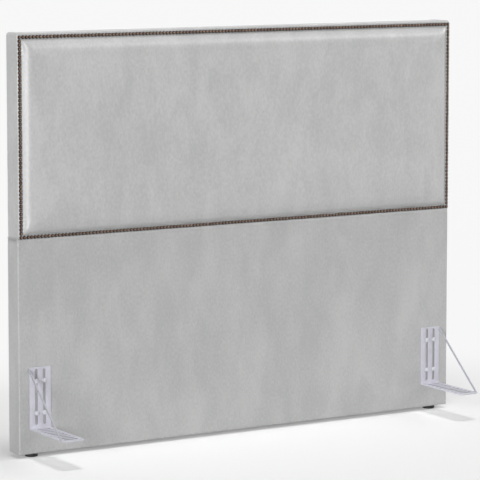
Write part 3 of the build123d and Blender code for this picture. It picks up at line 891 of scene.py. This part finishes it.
# Shares of the half width across flats and of the head's height, from the chamfer to the dimple
CAP_SHARES = ((0.92, 0.97), (0.62, 0.99), (0.5, 0.94), (0.0, 0.92))
WASHER_RADIUS = 7.0 * MM
WASHER_HOLE_RADIUS = 3.15 * MM
WASHER_THICKNESS = 1.6 * MM
WASHER_ROUND = 0.25 * MM
SOLE_HOLLOW = 0.6 * MM
GROOVE_LOW = 6.0 * MM
GROOVE_HIGH = 7.8 * MM
GROOVE_DEPTH = 0.5 * MM
GLIDE_ROUND = 0.8 * MM


def bevelled_copy(node, name, width):
    """The CAD form with its edges broken, as bent and coated sheet has them."""
    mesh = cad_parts[node].data.copy()
    obj = bpy.data.objects.new(name, mesh)
    scene.collection.objects.link(obj)
    bm = bmesh.new()
    bm.from_mesh(mesh)
    bmesh.ops.remove_doubles(bm, verts=bm.verts, dist=SMALL_JOIN)
    bmesh.ops.dissolve_limit(bm, angle_limit=math.radians(1), verts=bm.verts, edges=bm.edges)
    bm.to_mesh(mesh)
    bm.free()
    bevel = obj.modifiers.new("edges", "BEVEL")
    bevel.width = width
    bevel.segments = 2
    bevel.limit_method = "ANGLE"
    bevel.angle_limit = math.radians(50)
    bake_modifiers(obj)
    smooth_by_angle(obj, 40)
    return obj


def weld_bead(start, end, chance):
    """A short weld: overlapping flattened drops along a line."""
    turns = [math.pi * k / 8 for k in range(9)]
    parts = []
    for i in range(WELD_DROPS):
        place = start.lerp(end, (i + 0.5) / WELD_DROPS)
        size = WELD_RADIUS * chance.uniform(0.88, 1.12)
        profile = [(size * math.sin(turn), 0.8 * size * math.cos(turn)) for turn in turns]
        tilt = Euler((chance.uniform(-0.3, 0.3), chance.uniform(-0.3, 0.3), 0)).to_matrix().to_4x4()
        parts.append(lathe(profile, 12, Matrix.Translation(place) @ tilt))
    return parts


def hexagon_reach(turn):
    """From the middle of a bolt head to its outline at this turn."""
    sector = (turn + math.pi / 6) % (math.pi / 3) - math.pi / 6
    return BOLT_HALF_FLATS / math.cos(sector)


def hex_head():
    """The six flats and the turned chamfer, up to the round top."""
    turns = [2 * math.pi * i / HEAD_SIDES for i in range(HEAD_SIDES)]
    verts, faces = [], []
    for outline_share, height_share, cut in HEAD_SHARES:
        for turn in turns:
            reach = hexagon_reach(turn)
            radius = reach * outline_share
            height = BOLT_HEAD * height_share - cut * (reach - BOLT_HALF_FLATS)
            verts.append(Vector((radius * math.cos(turn), radius * math.sin(turn), height)))
    radius, height = BOLT_HALF_FLATS * CAP_SHARES[0][0], BOLT_HEAD * CAP_SHARES[0][1]
    verts += [Vector((radius * math.cos(turn), radius * math.sin(turn), height)) for turn in turns]
    for r in range(len(HEAD_SHARES)):
        a, b = r * HEAD_SIDES, (r + 1) * HEAD_SIDES
        for i in range(HEAD_SIDES):
            j = (i + 1) % HEAD_SIDES
            faces.append([a + i, a + j, b + j, b + i])
    return verts, faces


def hex_bolt(x, z, seat_y, length):
    """A hexagon head with a turned chamfer and a slight dimple, on a plain shank."""
    collar = 0.8 * hexagon_reach(math.pi / 6)
    cap = lathe([(BOLT_HALF_FLATS * across, BOLT_HEAD * up) for across, up in CAP_SHARES], HEAD_SIDES)
    shank = lathe([(collar, 0.0), (BOLT_SHANK_RADIUS, 0.0), (BOLT_SHANK_RADIUS, -length + BOLT_TIP),
                   (BOLT_SHANK_RADIUS - BOLT_TIP, -length), (0.0, -length)], 16)
    to_front = Matrix.Translation(Vector((x, seat_y, z))) @ Matrix.Rotation(math.radians(90), 4, "X")
    own_turn = math.radians(13 * round(z / MM) % 60)
    turned = to_front @ Matrix.Rotation(own_turn, 4, "Z")
    verts, faces = joined([hex_head(), cap, shank])
    return [turned @ v for v in verts], faces


def washer_form(x, z, back_y):
    """A flat washer with softened edges."""
    inner, outer, top, soft = WASHER_HOLE_RADIUS, WASHER_RADIUS, WASHER_THICKNESS, WASHER_ROUND
    profile = [(inner, 0.0), (outer - soft, 0.0), (outer, soft), (outer, top - soft), (outer - soft, top),
               (inner + soft, top), (inner, top - soft), (inner, 0.0)]
    to_front = Matrix.Translation(Vector((x, back_y, z))) @ Matrix.Rotation(math.radians(90), 4, "X")
    return lathe(profile, 36, to_front)


def paint_slot_wall_shade(sheet, low, high):
    """Gives the punched walls of the slots a darker material: painted shade, standing in for the shade
    inside the slots.
    """
    sheet.data.materials.append(SLOT_WALL_SHADE)
    middle_x = (low.x + high.x) / 2
    for face in sheet.data.polygons:
        x, y, z = face.center
        on_leg = low.y + LEG_ENDS[0] < y < high.y - LEG_ENDS[1] and abs(face.normal.z) < 0.6
        on_plate = low.z + PLATE_ENDS[0] < z < high.z - PLATE_ENDS[1] and abs(face.normal.y) < 0.6
        if abs(x - middle_x) < SLOT_FIELD_HALF and (on_leg or on_plate):
            face.material_index = 1


def make_bracket(side, sign):
    """The slotted sheet with its strut, and the strut's welds at the plate and at the leg."""
    body = f"bracket_{side}"
    sheet = bevelled_copy(f"bracket_{side}", f"coated_bracket_{side}", SHEET_EDGE)
    finish_piece(sheet, COATED, body, [f"bracket_{side}"])
    paint_slot_wall_shade(sheet, *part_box(f"bracket_{side}"))
    # The strut and its welds take the darker coat, which paints shade on them.
    strut = bevelled_copy(f"strut_{side}", f"coated_strut_{side}", STRUT_EDGE)
    finish_piece(strut, STRUT_PAINTED_SHADE, body, [f"strut_{side}"])
    strut_low, strut_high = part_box(f"strut_{side}")
    inward = 0.3 * MM
    weld_x = strut_low.x + inward if sign > 0 else strut_high.x - inward
    down_plate, along_leg = Vector((0, 1.5, -13)) * MM, Vector((0, 14, 0)) * MM
    top = Vector((weld_x, strut_high.y - 3 * MM, strut_high.z - 2 * MM))
    toe = Vector((weld_x, strut_low.y + 6 * MM, strut_low.z + 2.6 * MM))
    chance = random.Random(30 + sign)
    beads = weld_bead(top, top + down_plate, chance) + weld_bead(toe, toe + along_leg, chance)
    weld = new_object(f"strut_weld_{side}", *joined(beads))
    finish_piece(weld, STRUT_PAINTED_SHADE, body)


def make_bolts(side):
    """The four bolts of one bracket, with their washers."""
    bolt_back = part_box(f"bracket_bolts_{side}")[1].y
    low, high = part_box(f"bracket_washers_{side}")
    places = [(x, z) for x in (low.x + WASHER_RADIUS, high.x - WASHER_RADIUS)
              for z in (low.z + WASHER_RADIUS, high.z - WASHER_RADIUS)]
    length = bolt_back - low.y
    bolts = new_object(f"hex_bolts_{side}", *joined([hex_bolt(x, z, low.y, length) for x, z in places]))
    clean_up(bolts, SMALL_JOIN)
    smooth_by_angle(bolts, 35)
    finish_piece(bolts, BOLT_COAT, MAIN_BODY, [f"bracket_bolts_{side}"])
    washers = new_object(f"washers_{side}", *joined([washer_form(x, z, high.y) for x, z in places]))
    clean_up(washers, SMALL_JOIN)
    smooth_by_angle(washers, 40)
    finish_piece(washers, BOLT_COAT, MAIN_BODY, [f"bracket_washers_{side}"])


def glide_profile(radius, height):
    """Radius and height of a glide from its hollow sole up, with a groove round its side."""
    grooved = radius - GROOVE_DEPTH
    return [
        (0.0, SOLE_HOLLOW),
        (radius * 0.55, SOLE_HOLLOW),
        (radius * 0.6, 0.0),
        (radius - 2 * MM, 0.0),
        (radius - 0.7 * MM, 0.5 * MM),
        (radius, 1.8 * MM),
        (radius, GROOVE_LOW),
        (grooved, GROOVE_LOW + GROOVE_DEPTH),
        (grooved, GROOVE_HIGH - GROOVE_DEPTH),
        (radius, GROOVE_HIGH),
        (radius, height - GLIDE_ROUND),
        (radius - GLIDE_ROUND, height),
        (0.0, height),
    ]


def make_glide(side):
    low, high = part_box(f"foot_{side}")
    profile = glide_profile((high.x - low.x) / 2, high.z)
    middle = (low + high) / 2
    glide = new_object(f"glide_{side}", *lathe(profile, 48, Matrix.Translation((middle.x, middle.y, 0))))
    clean_up(glide, SMALL_JOIN)
    smooth_by_angle(glide, 30)
    finish_piece(glide, BLACK, MAIN_BODY, [f"foot_{side}"])


for side, sign in SIDES:
    make_bracket(side, sign)
    make_bolts(side)
    make_glide(side)


# Dust cloth and staples on the back

DUST_GRID = 14.0 * MM
DUST_THICKNESS = 0.5 * MM
DUST_SINK = 0.9 * MM
DUST_RIPPLE = 0.55 * MM
SLACK_ZONE = 90.0 * MM
STAPLE_PULL = 0.3 * MM
STAPLE_PULL_REACH = 22.0 * MM
STAPLE_PITCH = 45.0 * MM
STAPLE_INSET = 7.0 * MM
STAPLE_HALF = 5.0 * MM
STAPLE_LEG = 3.0 * MM
STAPLE_CROWN = 0.45 * MM
STAPLE_BEND = 0.5 * MM
STAPLE_WIRE = 0.42 * MM


def dust_sheet():
    """A thin stretched cloth with faint pulls toward its staples."""
    xs = spread(back_low.x, back_high.x, DUST_GRID)
    zs = spread(back_low.z, back_high.z, DUST_GRID)
    verts = []
    for z in zs:
        for x in xs:
            near_x = min(x - back_low.x, back_high.x - x)
            near_z = min(z - back_low.z, back_high.z - z)
            near = min(near_x, near_z)
            along = x if near_z <= near_x else z
            ripple = DUST_RIPPLE * soft_noise(Vector((x, 0, z)), (0.16, 0.1, 0.22), 9.2)
            ripple *= smoothstep(near, 0.0, SLACK_ZONE)
            pull = STAPLE_PULL * math.cos(2 * math.pi * along / STAPLE_PITCH)
            pull *= math.exp(-near / STAPLE_PULL_REACH)
            verts.append(Vector((x, back_high.y - DUST_SINK + ripple + pull, z)))
    faces = [[a, d, c, b] for a, b, c, d in grid_faces(len(xs), len(zs))]
    obj = new_object("dust_sheet", verts, faces)
    clean_up(obj, SMALL_JOIN)
    thicken(obj, DUST_THICKNESS)
    return obj


def make_dust_cloth():
    dust = dust_sheet()
    finish_piece(dust, DUST, MAIN_BODY, ["back_cloth"])


def staple_form(place, turn):
    """One staple: a crown wire with both legs bent into the timber."""
    half = [(STAPLE_HALF, -STAPLE_LEG), (STAPLE_HALF, -0.1 * MM), (STAPLE_HALF - STAPLE_BEND, STAPLE_CROWN)]
    points = [Vector((-x, y, 0)) for x, y in half] + [Vector((x, y, 0)) for x, y in reversed(half)]
    matrix = Matrix.Translation(place) @ Matrix.Rotation(turn, 4, "Y")
    return tube([matrix @ p for p in points], STAPLE_WIRE, 6)


def make_staples():
    """Staples along all four edges of the dust cloth, each a little off its place and turned a little."""
    chance = random.Random(41)
    along, across, own_turn = 3.0 * MM, 1.5 * MM, 0.09
    row_inset, column_inset = 22.0 * MM, 40.0 * MM
    staples = []
    for z in (back_low.z + STAPLE_INSET, back_high.z - STAPLE_INSET):
        for x in spread(back_low.x + row_inset, back_high.x - row_inset, STAPLE_PITCH):
            moved = Vector((chance.uniform(-along, along), 0, chance.uniform(-across, across)))
            place = Vector((x, back_high.y, z)) + moved
            staples.append(staple_form(place, chance.gauss(0, own_turn)))
    for x in (back_low.x + STAPLE_INSET, back_high.x - STAPLE_INSET):
        for z in spread(back_low.z + column_inset, back_high.z - column_inset, STAPLE_PITCH):
            moved = Vector((chance.uniform(-across, across), 0, chance.uniform(-along, along)))
            place = Vector((x, back_high.y, z)) + moved
            staples.append(staple_form(place, math.pi / 2 + chance.gauss(0, own_turn)))
    wires = new_object("back_staples", *joined(staples))
    finish_piece(wires, STAPLE, MAIN_BODY)


make_dust_cloth()
make_staples()


# Floor, light and camera

FLOOR_HALF = 60.0
FLOOR_BOUNCE = 0.65
FLOOR_SEEN = 0.97
FLOOR_GLOW = 0.94
# The floor's glow grows from its near share to its far share between these distances
GLOW_DISTANCES = (0.7, 1.9)
GLOW_SHARES = (0.24, 0.96)
AMBIENT = 0.10
BACKDROP = 0.98

# The camera fitted to the photograph: place, angles in degrees, and lens in millimetres
CAMERA_PLACE = (-4.3803, -7.1072, 1.7126)
CAMERA_TILT = 6.3517
CAMERA_TURN = 31.2902
CAMERA_LENS = 199.87
CAMERA_SENSOR = 36.0
CAMERA_SHIFT = -0.10
CAMERA_REACH = 300.0


def seen_directly(tree):
    """1 for rays from the camera and for what glossy and clear surfaces show."""
    path = tree.nodes.new("ShaderNodeLightPath")
    both = path.outputs["Is Camera Ray"]
    for other in ("Is Glossy Ray", "Is Transmission Ray"):
        larger = tree.nodes.new("ShaderNodeMath")
        larger.operation = "MAXIMUM"
        tree.links.new(both, larger.inputs[0])
        tree.links.new(path.outputs[other], larger.inputs[1])
        both = larger.outputs[0]
    return both


def make_floor():
    """A pale floor that keeps the shadow near the object and glows like the backdrop further out."""
    corners = [(FLOOR_HALF * x, FLOOR_HALF * y, 0) for x, y in ((-1, -1), (1, -1), (1, 1), (-1, 1))]
    floor = new_object("floor", corners, [[0, 1, 2, 3]], False)
    material = bpy.data.materials.new("pale_floor")
    material.use_nodes = True
    tree = material.node_tree
    tree.nodes.clear()
    output = tree.nodes.new("ShaderNodeOutputMaterial")
    plain = tree.nodes.new("ShaderNodeBsdfDiffuse")
    tint = tree.nodes.new("ShaderNodeMix")
    tint.data_type = "RGBA"
    tint.inputs["A"].default_value = (FLOOR_BOUNCE, FLOOR_BOUNCE, FLOOR_BOUNCE, 1)
    tint.inputs["B"].default_value = (FLOOR_SEEN, FLOOR_SEEN, FLOOR_SEEN, 1)
    tree.links.new(seen_directly(tree), tint.inputs["Factor"])
    tree.links.new(tint.outputs["Result"], plain.inputs["Color"])
    glow = tree.nodes.new("ShaderNodeEmission")
    glow.inputs["Color"].default_value = (FLOOR_GLOW, FLOOR_GLOW, FLOOR_GLOW, 1)
    blend = tree.nodes.new("ShaderNodeMixShader")
    place = tree.nodes.new("ShaderNodeTexCoord")
    away = tree.nodes.new("ShaderNodeVectorMath")
    away.operation = "LENGTH"
    tree.links.new(place.outputs["Object"], away.inputs[0])
    fade = tree.nodes.new("ShaderNodeMapRange")
    fade.interpolation_type = "SMOOTHSTEP"
    tree.links.new(away.outputs["Value"], fade.inputs["Value"])
    for name, number in zip(("From Min", "From Max", "To Min", "To Max"), (*GLOW_DISTANCES, *GLOW_SHARES)):
        fade.inputs[name].default_value = number
    share = tree.nodes.new("ShaderNodeMath")
    share.operation = "MULTIPLY"
    tree.links.new(seen_directly(tree), share.inputs[0])
    tree.links.new(fade.outputs["Result"], share.inputs[1])
    tree.links.new(share.outputs[0], blend.inputs[0])
    tree.links.new(plain.outputs[0], blend.inputs[1])
    tree.links.new(glow.outputs[0], blend.inputs[2])
    tree.links.new(blend.outputs[0], output.inputs[0])
    floor.data.materials.append(material)


def make_world(ambient, shown):
    """An even white world: ambient is its light, and shown how bright it looks."""
    world = bpy.data.worlds.new("studio")
    scene.world = world
    world.use_nodes = True
    tree = world.node_tree
    tree.nodes.clear()
    output = tree.nodes.new("ShaderNodeOutputWorld")
    blend = tree.nodes.new("ShaderNodeMixShader")
    for slot, strength in ((1, ambient), (2, shown)):
        background = tree.nodes.new("ShaderNodeBackground")
        background.inputs["Color"].default_value = (1, 1, 1, 1)
        background.inputs["Strength"].default_value = strength
        tree.links.new(background.outputs[0], blend.inputs[slot])
    tree.links.new(seen_directly(tree), blend.inputs[0])
    tree.links.new(blend.outputs[0], output.inputs[0])


def add_sun(name, azimuth, elevation, strength, softness):
    """A soft far light; azimuth 0 is the front, and negative ones are at the left. Angles in degrees."""
    lamp = bpy.data.lights.new(name, "SUN")
    lamp.energy = strength
    lamp.angle = math.radians(softness)
    obj = bpy.data.objects.new(name, lamp)
    scene.collection.objects.link(obj)
    obj.rotation_euler = Euler((math.radians(90 - elevation), 0, math.radians(azimuth)))


def add_camera():
    camera_data = bpy.data.cameras.new("camera")
    camera_data.lens = CAMERA_LENS
    camera_data.sensor_width = CAMERA_SENSOR
    camera_data.sensor_fit = "HORIZONTAL"
    camera_data.shift_y = CAMERA_SHIFT
    camera_data.clip_end = CAMERA_REACH
    camera = bpy.data.objects.new("camera", camera_data)
    scene.collection.objects.link(camera)
    camera.location = CAMERA_PLACE
    camera.rotation_euler = Euler((math.radians(90 - CAMERA_TILT), 0, math.radians(-CAMERA_TURN)))
    scene.camera = camera


make_floor()
make_world(AMBIENT, BACKDROP)
add_sun("key_left", azimuth=-50, elevation=8, strength=2.75, softness=26)
add_sun("fill_right", azimuth=82, elevation=22, strength=1.4, softness=30)
add_sun("fill_front", azimuth=46, elevation=27, strength=0.44, softness=12)
add_sun("fill_top", azimuth=20, elevation=84, strength=1.15, softness=16)
add_camera()
